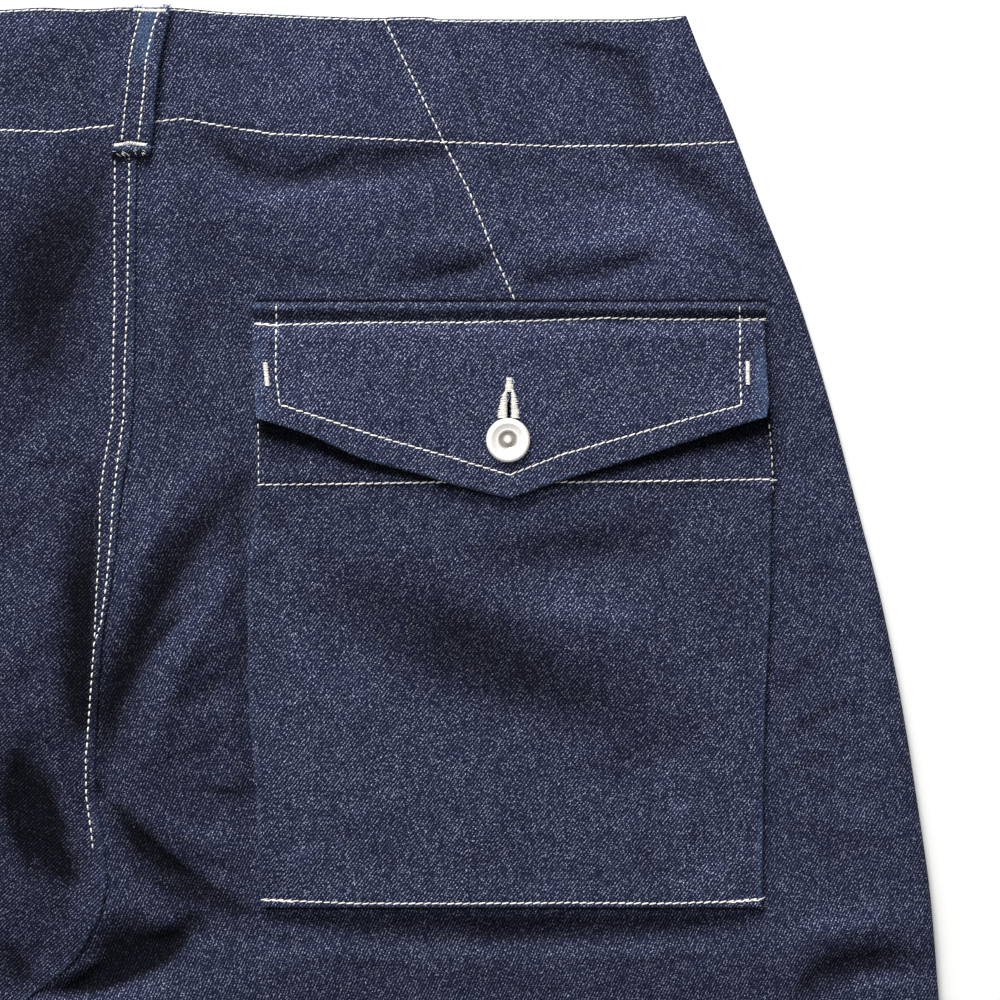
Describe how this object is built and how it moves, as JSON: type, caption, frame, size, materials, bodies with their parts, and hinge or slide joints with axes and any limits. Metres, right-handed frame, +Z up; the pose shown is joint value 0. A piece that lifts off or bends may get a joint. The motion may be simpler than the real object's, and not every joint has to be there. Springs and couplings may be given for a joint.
{
  "type": "denim trousers laid flat",
  "caption": "Wide straight denim trousers laid flat, back side up, with a turned waist facing, belt loops, a felled centre back seam and a flapped patch pocket closed by a metal button.",
  "frame": {"origin": "on the surface the garment lies on, under the middle of its laid outline", "axes": "+X to the right as the back is looked at, +Y up the garment towards the waist, +Z up off the surface"},
  "size_m": [0.716, 1.02, 0.0156],
  "materials": {
    "denim_body": "woven right-hand twill denim, dark rinsed indigo with a white weft",
    "denim_pocket": "woven right-hand twill denim, dark rinsed indigo, a little greyer on the flap",
    "denim_loop": "woven denim with bluer, slightly worn edges",
    "button_metal": "silvery plated metal with a matte dish",
    "thread": "ecru sewing thread"
  },
  "bodies": {
    "root": {"back_right": "denim_body", "back_left": "denim_body", "front_right": "denim_body", "front_left": "denim_body", "pocket_back_right": "denim_pocket", "flap_right": "denim_pocket", "flap_button": "button_metal", "belt_loop_back": "denim_loop", "fly_placket": "denim_body", "waist_button": "button_metal", "belt_loop_front_right": "denim_loop", "belt_loop_side_right": "denim_loop", "belt_loop_front_left": "denim_loop", "belt_loop_side_left": "denim_loop"}
  },
  "joints": []
}
